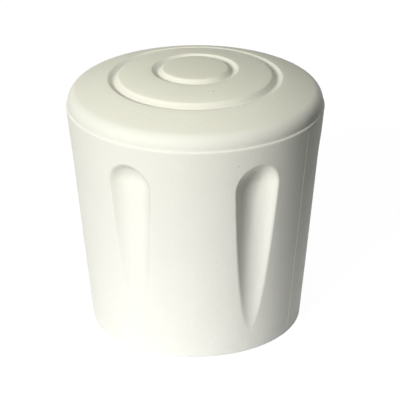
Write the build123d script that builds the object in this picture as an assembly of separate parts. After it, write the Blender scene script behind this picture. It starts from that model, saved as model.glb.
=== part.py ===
from build123d import *
import math
import os

# Chair leg tip: one rubber moulding that pushes over the end of a round leg.
# It stands on its mouth with the sole up. The origin is the centre of the mouth rim, and +Z runs along
# the axis towards the sole. Lengths are in millimetres and angles in degrees.

# Socket: the blind hole that grips the leg, a little smaller than the leg itself.
LEG_DIAMETER = 22.2
SOCKET_GRIP = 0.2
SOCKET_DEPTH = 27.0
SOCKET_LEAD_IN = 0.8

# Body: a cone that widens from the mouth to the ledge under the sole.
MOUTH_WALL = 3.1
BODY_FLARE = 2.78
LEDGE_ABOVE_SOCKET = 3.17

# Ledge: the small sloping step where the sole sets back from the body.
LEDGE_STEP = 0.2
LEDGE_RISE = 0.17

# Sole: a low straight side and a shallow dome, with a rounded edge between them.
SOLE_SIDE_HEIGHT = 0.25
SOLE_EDGE_RADIUS = 1.9
SOLE_DOME_RADIUS = 42.9

# Tread: two ring grooves in the dome, with sloping walls, a narrow flat floor and broken edges.
TREAD_RADII = (4.93, 10.67)
TREAD_WIDTH = 1.38
TREAD_DEPTH = 0.54
TREAD_FLOOR_WIDTH = 0.25
TREAD_EDGE_BREAK = 0.12

# Flutes: ball-ended channels round the body, with floors parallel to the axis that run out on the taper.
FLUTE_COUNT = 6
FLUTE_RADIUS = 3.6
FLUTE_RUNOUT_HEIGHT = 3.5
FLUTE_TOP_BELOW_LEDGE = 2.82
FLUTE_EDGE_RADIUS = 0.25

# Cutters reach this far past the faces they leave by.
OVERRUN = 2.0

# Sizes that follow from the ones above.
SOCKET_RADIUS = (LEG_DIAMETER - SOCKET_GRIP) / 2
MOUTH_RADIUS = SOCKET_RADIUS + MOUTH_WALL
LEDGE_RADIUS = MOUTH_RADIUS + BODY_FLARE
LEDGE_HEIGHT = SOCKET_DEPTH + LEDGE_ABOVE_SOCKET
SOLE_RADIUS = LEDGE_RADIUS - LEDGE_STEP
SOLE_BASE_HEIGHT = LEDGE_HEIGHT + LEDGE_RISE
EDGE_CENTRE_HEIGHT = SOLE_BASE_HEIGHT + SOLE_SIDE_HEIGHT


def body_radius(height):
    """Radius of the tapered body at a height above the mouth."""
    return MOUTH_RADIUS + BODY_FLARE * height / LEDGE_HEIGHT


# The dome's centre lies on the axis, where the dome meets the rounded edge without a kink.
EDGE_CENTRE_RADIUS = SOLE_RADIUS - SOLE_EDGE_RADIUS
EDGE_CENTRE_RISE = math.sqrt((SOLE_DOME_RADIUS - SOLE_EDGE_RADIUS) ** 2 - EDGE_CENTRE_RADIUS**2)
DOME_CENTRE_HEIGHT = EDGE_CENTRE_HEIGHT - EDGE_CENTRE_RISE


def dome_height(radius):
    """Height of the domed sole at a distance from the axis."""
    return DOME_CENTRE_HEIGHT + math.sqrt(SOLE_DOME_RADIUS**2 - radius**2)


def dome_arc(inner_radius, outer_radius):
    """Stretch of the sole's outline between two distances from the axis."""
    outer_angle = math.degrees(math.acos(outer_radius / SOLE_DOME_RADIUS))
    inner_angle = math.degrees(math.acos(inner_radius / SOLE_DOME_RADIUS))
    return CenterArc((0, DOME_CENTRE_HEIGHT), SOLE_DOME_RADIUS, outer_angle, inner_angle - outer_angle)


def nearest_corner(profile, point):
    """The profile's corner at a point of its outline."""
    return profile.vertices().sort_by_distance(point)[0]


def turned_profile():
    """Half section of the tip, with radius along X and height along Y."""
    crown_angle = math.degrees(math.atan2(EDGE_CENTRE_RISE, EDGE_CENTRE_RADIUS))
    crown_radius = SOLE_DOME_RADIUS * math.cos(math.radians(crown_angle))
    straight_runs = Polyline(
        (0, dome_height(0)),
        (0, SOCKET_DEPTH),
        (SOCKET_RADIUS, SOCKET_DEPTH),
        (SOCKET_RADIUS, SOCKET_LEAD_IN),
        (SOCKET_RADIUS + SOCKET_LEAD_IN, 0),
        (MOUTH_RADIUS, 0),
        (LEDGE_RADIUS, LEDGE_HEIGHT),
        (SOLE_RADIUS, SOLE_BASE_HEIGHT),
        (SOLE_RADIUS, EDGE_CENTRE_HEIGHT),
    )
    rounded_edge = CenterArc((EDGE_CENTRE_RADIUS, EDGE_CENTRE_HEIGHT), SOLE_EDGE_RADIUS, 0, crown_angle)
    outline = [straight_runs, rounded_edge]
    tread_edges = []
    land_start = crown_radius
    for tread_radius in sorted(TREAD_RADII, reverse=True):
        outer = tread_radius + TREAD_WIDTH / 2
        inner = tread_radius - TREAD_WIDTH / 2
        outer_edge = (outer, dome_height(outer))
        inner_edge = (inner, dome_height(inner))
        floor_height = dome_height(tread_radius) - TREAD_DEPTH
        outer_floor = (tread_radius + TREAD_FLOOR_WIDTH / 2, floor_height)
        inner_floor = (tread_radius - TREAD_FLOOR_WIDTH / 2, floor_height)
        outline.append(dome_arc(outer, land_start))
        outline.append(Polyline(outer_edge, outer_floor, inner_floor, inner_edge))
        tread_edges.extend((outer_edge, inner_edge))
        land_start = inner
    outline.append(dome_arc(0, land_start))
    profile = make_face(outline)
    for edge in tread_edges:
        profile = chamfer(nearest_corner(profile, edge), TREAD_EDGE_BREAK)
    return profile


def flute_cutter():
    """Ball-ended rod whose inner side is the floor of one flute."""
    floor_radius = body_radius(FLUTE_RUNOUT_HEIGHT)
    axis_radius = floor_radius + FLUTE_RADIUS
    top_height = LEDGE_HEIGHT - FLUTE_TOP_BELOW_LEDGE
    top_inset = axis_radius - body_radius(top_height)
    ball_height = top_height - math.sqrt(FLUTE_RADIUS**2 - top_inset**2)
    rod = Cylinder(FLUTE_RADIUS, ball_height + OVERRUN, align=(Align.CENTER, Align.CENTER, Align.MAX))
    return Pos(axis_radius, 0, ball_height) * (rod + Sphere(FLUTE_RADIUS))


def flute_edges(body):
    """Edges where the flutes leave the body: those of its cone that are neither straight nor round."""
    taper = body.faces().filter_by(GeomType.CONE).sort_by(SortBy.AREA)[-1]
    plain_kinds = (GeomType.LINE, GeomType.CIRCLE)
    return taper.edges().filter_by(lambda edge: edge.geom_type not in plain_kinds)


def leg_tip():
    """The whole moulding: a turned blank with flutes cut round it, one facing +X, and their edges softened."""
    flute_pitch = 360 / FLUTE_COUNT
    blank = revolve(Plane.XZ * turned_profile(), axis=Axis.Z)
    # The blank's own start line lies midway between two flutes.
    body = Rot(0, 0, flute_pitch / 2) * blank
    for turn in range(FLUTE_COUNT):
        body -= Rot(0, 0, turn * flute_pitch) * flute_cutter()
    return fillet(flute_edges(body), FLUTE_EDGE_RADIUS)


os.makedirs("parts", exist_ok=True)
export_step(leg_tip(), "parts/leg_tip.step")
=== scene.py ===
import math

import bmesh
import bpy
from mathutils import Matrix, Quaternion, Vector


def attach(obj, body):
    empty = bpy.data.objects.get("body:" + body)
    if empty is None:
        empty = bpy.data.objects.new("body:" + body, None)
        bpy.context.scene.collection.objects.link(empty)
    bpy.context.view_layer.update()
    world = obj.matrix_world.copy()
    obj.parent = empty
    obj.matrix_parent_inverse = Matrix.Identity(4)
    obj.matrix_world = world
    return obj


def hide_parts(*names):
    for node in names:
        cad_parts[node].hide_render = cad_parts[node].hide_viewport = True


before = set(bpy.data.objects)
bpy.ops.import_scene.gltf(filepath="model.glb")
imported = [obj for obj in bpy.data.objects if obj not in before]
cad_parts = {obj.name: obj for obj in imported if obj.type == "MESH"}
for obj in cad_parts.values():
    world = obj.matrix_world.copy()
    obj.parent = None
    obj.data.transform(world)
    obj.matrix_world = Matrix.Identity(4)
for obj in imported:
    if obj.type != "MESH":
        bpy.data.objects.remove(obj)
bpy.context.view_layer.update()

# Leg tip: outline
# The tip is one moulding of off-white rubber that pushes over the end of a chair leg. Its half section runs
# from the middle of the socket's floor down the socket, round the mouth, up the tapered body and in over the
# sole. Sizes are in millimetres.
MM = 0.001
SOCKET_RADIUS = 11.0
SOCKET_DEPTH = 27.0
SOCKET_LEAD_IN = 0.8
MOUTH_RADIUS = 14.1
LEDGE_RADIUS = 16.88
LEDGE_HEIGHT = 30.17
SOLE_RADIUS = 16.68
SOLE_BASE_HEIGHT = 30.34
SOLE_SIDE_HEIGHT = 0.25
SOLE_EDGE_RADIUS = 1.9
SOLE_EDGE_ROWS = 12
DOME_RADIUS = 42.9
TREAD_RADII = (10.67, 4.93)
TREAD_WIDTH = 1.38
TREAD_FLOOR_WIDTH = 0.25
TREAD_DEPTH = 0.54
LAND_ROWS = 4
# Stretches of the body end at these heights. Their rows are closest where the flutes begin and run out.
BODY_ROWS = ((2.9, 3), (6.4, 18), (23.0, 32), (28.3, 44), (LEDGE_HEIGHT, 4))

EDGE_CENTRE_RADIUS = SOLE_RADIUS - SOLE_EDGE_RADIUS
EDGE_CENTRE_RISE = math.sqrt((DOME_RADIUS - SOLE_EDGE_RADIUS) ** 2 - EDGE_CENTRE_RADIUS**2)
EDGE_CENTRE_HEIGHT = SOLE_BASE_HEIGHT + SOLE_SIDE_HEIGHT
DOME_CENTRE_HEIGHT = EDGE_CENTRE_HEIGHT - EDGE_CENTRE_RISE

tip_mesh = bmesh.new()


def body_radius(height):
    """Radius of the taper at a height above the mouth."""
    return MOUTH_RADIUS + (LEDGE_RADIUS - MOUTH_RADIUS) * height / LEDGE_HEIGHT


def dome_height(radius):
    """Height of the domed sole at a distance from the axis."""
    return DOME_CENTRE_HEIGHT + math.sqrt(DOME_RADIUS**2 - radius**2)


def draw_to(point, radius, height, rows=1):
    """Carries the half section on in a straight line, in a number of rows."""
    start = point.co.copy()
    end = Vector((radius * MM, 0, height * MM))
    for row in range(rows):
        point = bmesh.ops.extrude_vert_indiv(tip_mesh, verts=[point])["verts"][0]
        point.co = start.lerp(end, (row + 1) / rows)
    return point


def draw_arc(point, centre_radius, centre_height, angle, rows):
    """Carries the half section on round an arc towards the axis, in a number of rows."""
    centre = (centre_radius * MM, 0, centre_height * MM)
    swept = bmesh.ops.spin(
        tip_mesh, geom=[point], cent=centre, axis=(0, 1, 0), angle=-angle, steps=rows
    )
    return [part for part in swept["geom_last"] if isinstance(part, bmesh.types.BMVert)][0]


socket_middle = tip_mesh.verts.new((0, 0, SOCKET_DEPTH * MM))
socket_corner = draw_to(socket_middle, SOCKET_RADIUS, SOCKET_DEPTH)
lead_in_top = draw_to(socket_corner, SOCKET_RADIUS, SOCKET_LEAD_IN)
lead_in_foot = draw_to(lead_in_top, SOCKET_RADIUS + SOCKET_LEAD_IN, 0)
mouth_corner = draw_to(lead_in_foot, MOUTH_RADIUS, 0)
ledge_foot = mouth_corner
for row_height, rows in BODY_ROWS:
    ledge_foot = draw_to(ledge_foot, body_radius(row_height), row_height, rows)
ledge_top = draw_to(ledge_foot, SOLE_RADIUS, SOLE_BASE_HEIGHT)
side_top = draw_to(ledge_top, SOLE_RADIUS, EDGE_CENTRE_HEIGHT)
crown_angle = math.atan2(EDGE_CENTRE_RISE, EDGE_CENTRE_RADIUS)
land_end = draw_arc(side_top, EDGE_CENTRE_RADIUS, EDGE_CENTRE_HEIGHT, crown_angle, SOLE_EDGE_ROWS)
land_radius = DOME_RADIUS * math.cos(crown_angle)
tread_edges = []
tread_feet = []
for tread_radius in TREAD_RADII:
    outer = tread_radius + TREAD_WIDTH / 2
    inner = tread_radius - TREAD_WIDTH / 2
    tread_floor = dome_height(tread_radius) - TREAD_DEPTH
    land_angle = math.acos(outer / DOME_RADIUS) - math.acos(land_radius / DOME_RADIUS)
    outer_edge = draw_arc(land_end, 0, DOME_CENTRE_HEIGHT, land_angle, LAND_ROWS)
    outer_foot = draw_to(outer_edge, tread_radius + TREAD_FLOOR_WIDTH / 2, tread_floor)
    inner_foot = draw_to(outer_foot, tread_radius - TREAD_FLOOR_WIDTH / 2, tread_floor)
    land_end = draw_to(inner_foot, inner, dome_height(inner))
    land_radius = inner
    tread_edges += [outer_edge, land_end]
    tread_feet += [outer_foot, inner_foot]
middle_angle = math.pi / 2 - math.acos(land_radius / DOME_RADIUS)
draw_arc(land_end, 0, DOME_CENTRE_HEIGHT, middle_angle, LAND_ROWS)

# Each corner of the half section is softened as moulded rubber is: its points, setback and rows.
SOFT_CORNERS = (
    (tread_edges, 0.16, 4),
    (tread_feet, 0.11, 3),
    ([ledge_foot, ledge_top], 0.09, 3),
    ([mouth_corner], 0.1, 3),
    ([lead_in_foot, lead_in_top], 0.15, 3),
    ([socket_corner], 0.3, 4),
)
for corners, setback, rows in SOFT_CORNERS:
    bmesh.ops.bevel(
        tip_mesh, geom=corners, offset=setback * MM, offset_type="OFFSET", segments=rows, profile=0.5,
        affect="VERTICES", material=-1,
    )

# Leg tip: flutes
# Six ball-ended channels run up the body between plain stretches. Their floors are parallel to the axis, so
# they fade out on the taper near the mouth, and their edges are softly rounded.
FLUTE_COUNT = 6
FLUTE_RADIUS = 3.6
FLUTE_RUNOUT_HEIGHT = 3.5
FLUTE_TOP_HEIGHT = 27.35
FLUTE_EDGE_SETBACK = 0.3
# A wall that faces outwards more than this counts as flat, where the flute fades into the body.
FLUTE_FLAT_FACING = 0.999
# Rows outside these heights belong to the mouth and the ledge, which the flutes don't reach.
FLUTED_HEIGHTS = (1.75, 29.17)
# Turns of one sixth of the body, in degrees, with their columns: mould line, plain, flute, plain, mould line.
SIXTH_TURNS = ((0.5, 5), (15.5, 6), (28.0, 64), (15.5, 6), (0.5, 5))
SEAM_GAP = 0.0001

FLUTE_AXIS_RADIUS = body_radius(FLUTE_RUNOUT_HEIGHT) + FLUTE_RADIUS
flute_top_inset = FLUTE_AXIS_RADIUS - body_radius(FLUTE_TOP_HEIGHT)
FLUTE_BALL_HEIGHT = FLUTE_TOP_HEIGHT - math.sqrt(FLUTE_RADIUS**2 - flute_top_inset**2)


def fluted_radius(angle, height):
    """Distance of the body's face from the axis, at an angle from the middle of a flute."""
    plain = body_radius(height)
    ball_rise = max(0, height - FLUTE_BALL_HEIGHT)
    reach = FLUTE_RADIUS**2 - ball_rise**2 - (FLUTE_AXIS_RADIUS * math.sin(angle)) ** 2
    if reach <= 0:
        return plain
    channel = FLUTE_AXIS_RADIUS * math.cos(angle) - math.sqrt(reach)
    # The rounding is set back by the same width on both sides of the edge, however steep the wall is there.
    facing = min(FLUTE_FLAT_FACING, (FLUTE_AXIS_RADIUS - plain * math.cos(angle)) / FLUTE_RADIUS)
    rounding = FLUTE_EDGE_SETBACK * math.sqrt(1 - facing**2) / facing
    overlap = max(0, rounding - abs(plain - channel))
    return min(plain, channel) - overlap**2 / (4 * rounding)


sixth = 2 * math.pi / FLUTE_COUNT
sixth_start = Matrix.Rotation(-sixth / 2, 3, "Z")
bmesh.ops.rotate(tip_mesh, verts=tip_mesh.verts, cent=(0, 0, 0), matrix=sixth_start)
half_section = tip_mesh.verts[:] + tip_mesh.edges[:]
for turn, columns in SIXTH_TURNS:
    swept = bmesh.ops.spin(
        tip_mesh, geom=half_section, cent=(0, 0, 0), axis=(0, 0, 1), angle=math.radians(turn), steps=columns
    )
    half_section = swept["geom_last"]
for vertex in tip_mesh.verts:
    radius = vertex.co.xy.length / MM
    height = vertex.co.z / MM
    if radius > MOUTH_RADIUS and FLUTED_HEIGHTS[0] < height < FLUTED_HEIGHTS[1]:
        vertex.co.xy *= fluted_radius(math.atan2(vertex.co.y, vertex.co.x), height) / radius
first_sixth = tip_mesh.verts[:] + tip_mesh.edges[:] + tip_mesh.faces[:]
bmesh.ops.spin(
    tip_mesh, geom=first_sixth, cent=(0, 0, 0), axis=(0, 0, 1), angle=2 * math.pi - sixth,
    steps=FLUTE_COUNT - 1, use_duplicate=True,
)
bmesh.ops.remove_doubles(tip_mesh, verts=tip_mesh.verts, dist=SEAM_GAP * MM)

# Leg tip: mould lines
# The two halves of the mould meet midway between flutes, on opposite sides of the body. A little rubber creeps
# into the joint and leaves a fine raised line from the mouth to the ledge.
MOULD_LINE_ANGLES = (-30, 150)
MOULD_LINE_RISE = 0.038
MOULD_LINE_HALF_WIDTH = 0.09
MOULD_LINE_END_GAP = 0.2

for vertex in tip_mesh.verts:
    radius = vertex.co.xy.length / MM
    height = vertex.co.z / MM
    if radius > MOUTH_RADIUS and MOULD_LINE_END_GAP < height < LEDGE_HEIGHT - MOULD_LINE_END_GAP:
        for line in MOULD_LINE_ANGLES:
            turn = math.atan2(vertex.co.y, vertex.co.x) - math.radians(line)
            aside = radius * math.sin(turn) / MOULD_LINE_HALF_WIDTH
            if math.cos(turn) > 0 and abs(aside) < 1:
                vertex.co.xy *= 1 + MOULD_LINE_RISE * (1 - aside**2) / radius
bmesh.ops.recalc_face_normals(tip_mesh, faces=tip_mesh.faces)
for face in tip_mesh.faces:
    face.smooth = True
tip_data = bpy.data.meshes.new("leg_tip_moulding")
tip_mesh.to_mesh(tip_data)
tip_mesh.free()
leg_tip = bpy.data.objects.new("leg_tip_moulding", tip_data)
bpy.context.collection.objects.link(leg_tip)
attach(leg_tip, "root")
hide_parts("leg_tip")

# Leg tip: rubber
# Filled off-white rubber, matte from a sand-blasted mould. The sole has yellowed a little, more on its lands
# than in its grooves. Painted light makes the sole's lands lighter than its middle, and painted shade darkens
# the body towards the mouth. The rubber is faintly clouded, with a few dark specks, and has dust with painted
# shade at the floors of its grooves.
# Colours of the rubber at heights above the mouth: its yellowing, with painted shade lowest at the mouth and
# painted light on the sole's lands.
RUBBER_TINTS_AND_PAINTED_SHADING = (
    (0.0, (0.845, 0.845, 0.79, 1)),
    (7.0, (0.86, 0.86, 0.787, 1)),
    (18.0, (0.86, 0.86, 0.785, 1)),
    (LEDGE_HEIGHT, (0.86, 0.86, 0.765, 1)),
    (31.7, (0.86, 0.86, 0.76, 1)),
    (32.5, (0.875, 0.87, 0.73, 1)),
    (34.3, (0.905, 0.9, 0.745, 1)),
    (35.0, (0.86, 0.855, 0.695, 1)),
)
CLOUD_SCALE = 140.0
CLOUD_DETAIL = 4.0
CLOUD_ROUGHNESS = 0.6
CLOUD_SPREAD = (0.3, 0.7)
CLOUD_LEVELS = (0.975, 1.0)
GROOVE_COLOUR = (0.875, 0.872, 0.76, 1)
GROOVE_HALF_WIDTH = 0.4
# Dust in the grooves, together with painted shade, darkens their floors.
DUST_AND_SHADE_COLOUR = (0.42, 0.4, 0.3, 1)
DUST_AND_SHADE_SHARE = 0.14
DUST_AND_SHADE_HALF_WIDTH = 0.1
SPECK_COLOUR = (0.2, 0.18, 0.13, 1)
SPECK_SHARE = 0.8
SPECK_RADIUS = 0.14
SPECK_SCALE = 240.0
GRAIN_SCALE = 2600.0
GRAIN_DETAIL = 3.0
GRAIN_STRENGTH = 0.55
GRAIN_DEPTH = 0.05
RUBBER_ROUGHNESS = (0.6, 0.75)
RUBBER_SPECULAR = 0.2

rubber = bpy.data.materials.new("off_white_rubber")
rubber.use_nodes = True
rubber_tree = rubber.node_tree
rubber_shader = rubber_tree.nodes["Principled BSDF"]
rubber_shader.inputs["Specular IOR Level"].default_value = RUBBER_SPECULAR


def add_node(tree, kind, inputs=None, **settings):
    """Adds a node to a tree, with values or links for its inputs, by name or place."""
    node = tree.nodes.new(kind)
    for name, value in settings.items():
        setattr(node, name, value)
    for name, value in (inputs or {}).items():
        if isinstance(value, bpy.types.NodeSocket):
            tree.links.new(value, node.inputs[name])
        else:
            node.inputs[name].default_value = value
    return node


def rubber_math(operation, first, second=0.0):
    """A sum on one or two values of the rubber."""
    return add_node(rubber_tree, "ShaderNodeMath", {0: first, 1: second}, operation=operation).outputs[0]


def rubber_range(value, value_range, result_range, shape="LINEAR"):
    """A value of the rubber, carried over from one range to another."""
    ends = {"From Min": value_range[0], "From Max": value_range[1]}
    ends.update({"To Min": result_range[0], "To Max": result_range[1], "Value": value})
    return add_node(rubber_tree, "ShaderNodeMapRange", ends, interpolation_type=shape).outputs["Result"]


def rubber_mix(share, under, over, blend="MIX"):
    """A colour laid over another by a share."""
    inputs = {0: share, 6: under, 7: over}
    return add_node(rubber_tree, "ShaderNodeMix", inputs, data_type="RGBA", blend_type=blend).outputs[2]


place = add_node(rubber_tree, "ShaderNodeTexCoord").outputs["Object"]
height_axis = add_node(rubber_tree, "ShaderNodeSeparateXYZ", {"Vector": place}).outputs["Z"]
height_share = rubber_range(height_axis, (0.0, dome_height(0) * MM), (0.0, 1.0))
# The tint by height carries painted shade towards the mouth and painted light on the sole's lands.
tint_and_painted_shading = add_node(rubber_tree, "ShaderNodeValToRGB", {"Fac": height_share})
for added_stop in RUBBER_TINTS_AND_PAINTED_SHADING[1:-1]:
    tint_and_painted_shading.color_ramp.elements.new(0.5)
for stop, (tint_height, colour) in zip(tint_and_painted_shading.color_ramp.elements, RUBBER_TINTS_AND_PAINTED_SHADING):
    stop.position = tint_height / dome_height(0)
    stop.color = colour

# The grooves are bands round the axis, found by the distance from the nearer tread, and only on the sole.
across = add_node(
    rubber_tree, "ShaderNodeVectorMath", {0: place, 1: (1, 1, 0)}, operation="MULTIPLY"
).outputs["Vector"]
from_axis = add_node(rubber_tree, "ShaderNodeVectorMath", {0: across}, operation="LENGTH").outputs["Value"]
from_treads = [
    rubber_math("ABSOLUTE", rubber_math("SUBTRACT", from_axis, tread_radius * MM))
    for tread_radius in TREAD_RADII
]
from_tread = rubber_math("MINIMUM", from_treads[0], from_treads[1])
on_sole = rubber_math("GREATER_THAN", height_axis, SOLE_BASE_HEIGHT * MM)
tread_edge = TREAD_WIDTH / 2 * MM
groove_band = rubber_range(from_tread, (GROOVE_HALF_WIDTH * MM, tread_edge), (1.0, 0.0), "SMOOTHSTEP")
# Dust and painted shade darken the floors of the grooves.
dust_and_shade_band = rubber_range(from_tread, (DUST_AND_SHADE_HALF_WIDTH * MM, tread_edge), (DUST_AND_SHADE_SHARE, 0.0), "SMOOTHSTEP")
groove_share = rubber_math("MULTIPLY", on_sole, groove_band)
dust_and_shade_share = rubber_math("MULTIPLY", on_sole, dust_and_shade_band)

cloud_inputs = {
    "Vector": place, "Scale": CLOUD_SCALE, "Detail": CLOUD_DETAIL, "Roughness": CLOUD_ROUGHNESS,
}
clouds = add_node(rubber_tree, "ShaderNodeTexNoise", cloud_inputs).outputs["Fac"]
cloud_level = rubber_range(clouds, CLOUD_SPREAD, CLOUD_LEVELS)
speck_inputs = {"Vector": place, "Scale": SPECK_SCALE}
from_speck = add_node(rubber_tree, "ShaderNodeTexVoronoi", speck_inputs).outputs["Distance"]
speck_reach = SPECK_SCALE * SPECK_RADIUS * MM
speck_share = rubber_range(from_speck, (0.0, speck_reach), (SPECK_SHARE, 0.0), "SMOOTHSTEP")
grooved = rubber_mix(groove_share, tint_and_painted_shading.outputs["Color"], GROOVE_COLOUR)
clouded = rubber_mix(1.0, grooved, cloud_level, "MULTIPLY")
dusty_and_shaded = rubber_mix(dust_and_shade_share, clouded, DUST_AND_SHADE_COLOUR)
specked = rubber_mix(speck_share, dusty_and_shaded, SPECK_COLOUR)
rubber_tree.links.new(specked, rubber_shader.inputs["Base Color"])

grain_inputs = {"Vector": place, "Scale": GRAIN_SCALE, "Detail": GRAIN_DETAIL}
grain = add_node(rubber_tree, "ShaderNodeTexNoise", grain_inputs).outputs["Fac"]
rubber_tree.links.new(rubber_range(grain, (0.0, 1.0), RUBBER_ROUGHNESS), rubber_shader.inputs["Roughness"])
pit_inputs = {"Height": grain, "Strength": GRAIN_STRENGTH, "Distance": GRAIN_DEPTH * MM}
pitted = add_node(rubber_tree, "ShaderNodeBump", pit_inputs).outputs["Normal"]
rubber_tree.links.new(pitted, rubber_shader.inputs["Normal"])
leg_tip.data.materials.append(rubber)

# Floor
# A round of white card lies under the tip on a wide, darker table, so that light comes back on the body from
# close by. The camera sees all of it as white paper that still takes a faint shadow.
FLOOR_WIDTH = 4.0
CARD_RADIUS = 35 * MM
CARD_FADE_RADIUS = 80 * MM
CARD_LEVEL = 0.9
TABLE_LEVEL = 0.13
SEEN_WHITE = 0.965
SEEN_SHADOW = 0.1

floor_mesh = bmesh.new()
bmesh.ops.create_grid(floor_mesh, x_segments=1, y_segments=1, size=FLOOR_WIDTH / 2)
floor_data = bpy.data.meshes.new("white_card")
floor_mesh.to_mesh(floor_data)
floor_mesh.free()
floor = bpy.data.objects.new("white_card", floor_data)
bpy.context.collection.objects.link(floor)

# Share of the rays that see the surroundings as white: straight, mirrored or through something clear.
clear_sight = bpy.data.node_groups.new("clear_sight", "ShaderNodeTree")
clear_sight.interface.new_socket("Share", in_out="OUTPUT", socket_type="NodeSocketFloat")
ray = add_node(clear_sight, "ShaderNodeLightPath").outputs
straight_or_mirrored = add_node(
    clear_sight, "ShaderNodeMath", {0: ray["Is Camera Ray"], 1: ray["Is Glossy Ray"]}, operation="ADD"
).outputs[0]
any_sight = add_node(
    clear_sight, "ShaderNodeMath", {0: straight_or_mirrored, 1: ray["Is Transmission Ray"]},
    operation="ADD", use_clamp=True,
).outputs[0]
add_node(clear_sight, "NodeGroupOutput", {"Share": any_sight})

card = bpy.data.materials.new("white_card")
card.use_nodes = True
card_tree = card.node_tree
card_tree.nodes.clear()
card_place = add_node(card_tree, "ShaderNodeTexCoord").outputs["Object"]
card_reach = add_node(card_tree, "ShaderNodeVectorMath", {0: card_place}, operation="LENGTH").outputs["Value"]
card_fade = {
    "Value": card_reach, "From Min": CARD_RADIUS, "From Max": CARD_FADE_RADIUS,
    "To Min": CARD_LEVEL, "To Max": TABLE_LEVEL,
}
card_level = add_node(card_tree, "ShaderNodeMapRange", card_fade, interpolation_type="SMOOTHSTEP").outputs[0]
card_face = add_node(card_tree, "ShaderNodeBsdfDiffuse", {"Color": card_level}).outputs[0]
shadow_colour = (SEEN_SHADOW, SEEN_SHADOW, SEEN_SHADOW, 1)
card_shadow = add_node(card_tree, "ShaderNodeBsdfDiffuse", {"Color": shadow_colour}).outputs[0]
card_white = add_node(card_tree, "ShaderNodeEmission", {"Strength": SEEN_WHITE}).outputs[0]
card_seen = add_node(card_tree, "ShaderNodeAddShader", {0: card_shadow, 1: card_white}).outputs[0]
card_sight = add_node(card_tree, "ShaderNodeGroup", node_tree=clear_sight).outputs["Share"]
card_mix = add_node(card_tree, "ShaderNodeMixShader", {0: card_sight, 1: card_face, 2: card_seen}).outputs[0]
add_node(card_tree, "ShaderNodeOutputMaterial", {"Surface": card_mix})
floor_data.materials.append(card)

# Lamps
# A soft box stands low at the front left, a weak one hangs overhead, and two behind keep the back from going
# dark. Dim walls all round fill the shaded side, and show white behind the floor.
# Each box has its azimuth and elevation in degrees, distance, width and height in metres, and power in watts.
SOFT_BOXES = {
    "key_box": (-30, 26, 0.6, 0.16, 0.2, 3.5),
    "top_box": (0, 90, 0.5, 0.27, 0.27, 0.51),
    "rear_left_box": (218, 8, 0.6, 0.13, 0.13, 0.5),
    "rear_right_box": (150, 5, 0.6, 0.1, 0.08, 0.35),
}
TIP_MIDDLE_HEIGHT = 17
WALL_COLOUR = (1, 1, 1, 1)
WALL_LEVEL = 0.013
WALL_SEEN_LEVEL = 1.0


def direction(azimuth, elevation):
    """Direction from the tip, with azimuth from the front towards the right, in degrees."""
    side = math.radians(azimuth)
    rise = math.radians(elevation)
    return Vector((math.sin(side) * math.cos(rise), -math.cos(side) * math.cos(rise), math.sin(rise)))


tip_middle = Vector((0, 0, TIP_MIDDLE_HEIGHT * MM))
for box_name, (azimuth, elevation, distance, width, height, power) in SOFT_BOXES.items():
    box = bpy.data.lights.new(box_name, "AREA")
    box.shape = "RECTANGLE"
    box.size = width
    box.size_y = height
    box.energy = power
    box_object = bpy.data.objects.new(box_name, box)
    box_object.location = tip_middle + direction(azimuth, elevation) * distance
    box_object.rotation_euler = direction(azimuth, elevation).to_track_quat("Z", "Y").to_euler()
    bpy.context.collection.objects.link(box_object)

walls = bpy.data.worlds.new("pale_walls")
walls.use_nodes = True
wall_tree = walls.node_tree
wall_face = wall_tree.nodes["Background"].inputs
wall_sight = add_node(wall_tree, "ShaderNodeGroup", node_tree=clear_sight).outputs["Share"]
wall_levels = {"Value": wall_sight, "To Min": WALL_LEVEL, "To Max": WALL_SEEN_LEVEL}
wall_level = add_node(wall_tree, "ShaderNodeMapRange", wall_levels).outputs["Result"]
wall_face["Color"].default_value = WALL_COLOUR
wall_tree.links.new(wall_level, wall_face["Strength"])
bpy.context.scene.world = walls

# Camera
# It looks down on the sole from a little above, with a long lens, as the photograph does. It is turned by a
# hair, because the tip in the photograph leans a little.
CAMERA_AZIMUTH = 1.1
CAMERA_ELEVATION = 24.96
CAMERA_ROLL = -0.25
CAMERA_DISTANCE = 257.3 * MM
CAMERA_NEAREST = 10 * MM
CAMERA_LENS = 173.1
AIM_RIGHT = 0.55 * MM
AIM_HEIGHT = 16.07 * MM

camera = bpy.data.cameras.new("camera")
camera.lens = CAMERA_LENS
camera.clip_start = CAMERA_NEAREST
camera_object = bpy.data.objects.new("camera", camera)
aim = direction(CAMERA_AZIMUTH + 90, 0) * AIM_RIGHT + Vector((0, 0, AIM_HEIGHT))
camera_side = direction(CAMERA_AZIMUTH, CAMERA_ELEVATION)
camera_roll = Quaternion((0, 0, 1), math.radians(CAMERA_ROLL))
camera_object.location = aim + camera_side * CAMERA_DISTANCE
camera_object.rotation_euler = (camera_side.to_track_quat("Z", "Y") @ camera_roll).to_euler()
bpy.context.collection.objects.link(camera_object)
bpy.context.scene.camera = camera_object
bpy.context.scene.view_settings.view_transform = "Standard"
